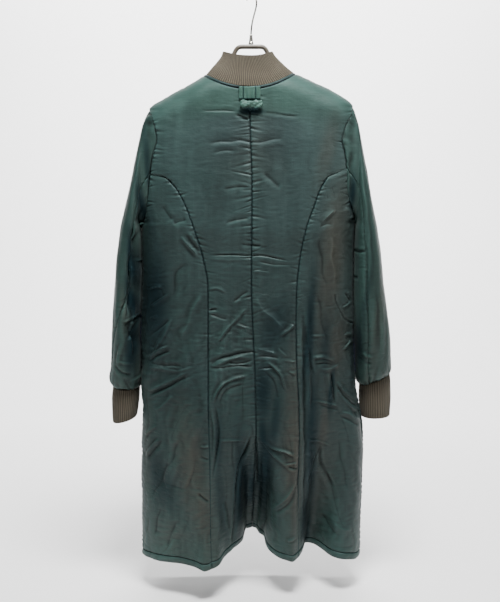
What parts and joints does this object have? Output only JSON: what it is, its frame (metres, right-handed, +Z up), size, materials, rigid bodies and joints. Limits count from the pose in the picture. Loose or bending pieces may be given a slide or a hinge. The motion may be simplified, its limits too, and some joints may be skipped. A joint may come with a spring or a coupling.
{
  "type": "coat on hanger",
  "caption": "Long padded zip-front coat with flared skirt, deep back fold, rib-knit stand collar and cuffs, hanging on a plastic hanger with a wire hook.",
  "frame": {"origin": "inside top of the hanger's wire hook, where a rod carries it", "axes": "+Z up along the hanging coat, the wearer's left is +X, the front of the coat faces -Y"},
  "size_m": [0.5903, 0.1934, 1.1524],
  "materials": {
    "shell_nylon": "smooth shot nylon, dark teal-green with a brown sheen",
    "rib_knit": "matt taupe rib knit",
    "strap_nylon": "smooth green nylon",
    "pocket_cloth": "navy cloth",
    "zip_tape": "woven black tape",
    "zip_metal": "satin metal",
    "hanger_plastic": "satin grey-brown plastic",
    "hanger_metal": "bright wire"
  },
  "bodies": {
    "coat": {"back_left": "shell_nylon", "back_right": "shell_nylon", "side_back_left": "shell_nylon", "side_back_right": "shell_nylon", "front_left": "shell_nylon", "front_right": "shell_nylon", "upper_sleeve_left": "shell_nylon", "upper_sleeve_right": "shell_nylon", "under_sleeve_left": "shell_nylon", "under_sleeve_right": "shell_nylon", "collar": "rib_knit", "cuff_left": "rib_knit", "cuff_right": "rib_knit", "neck_strap": "strap_nylon", "neck_roll": "strap_nylon", "pocket_left": "pocket_cloth", "pocket_right": "pocket_cloth", "zip_tape_left": "zip_tape", "zip_tape_right": "zip_tape", "zip_box": "zip_metal", "zip_slider": "zip_metal", "hanger_body": "hanger_plastic", "hanger_ferrule": "hanger_metal", "hanger_hook": "hanger_metal"},
    "zip_pull": {"zip_pull": "zip_metal"}
  },
  "joints": [
    {"name": "pull_hinge", "type": "hinge", "parent": "coat", "child": "zip_pull", "pos_m": [0, -0.058, -0.216], "axis": [-1, 0, 0], "range_deg": [0, 150]}
  ]
}
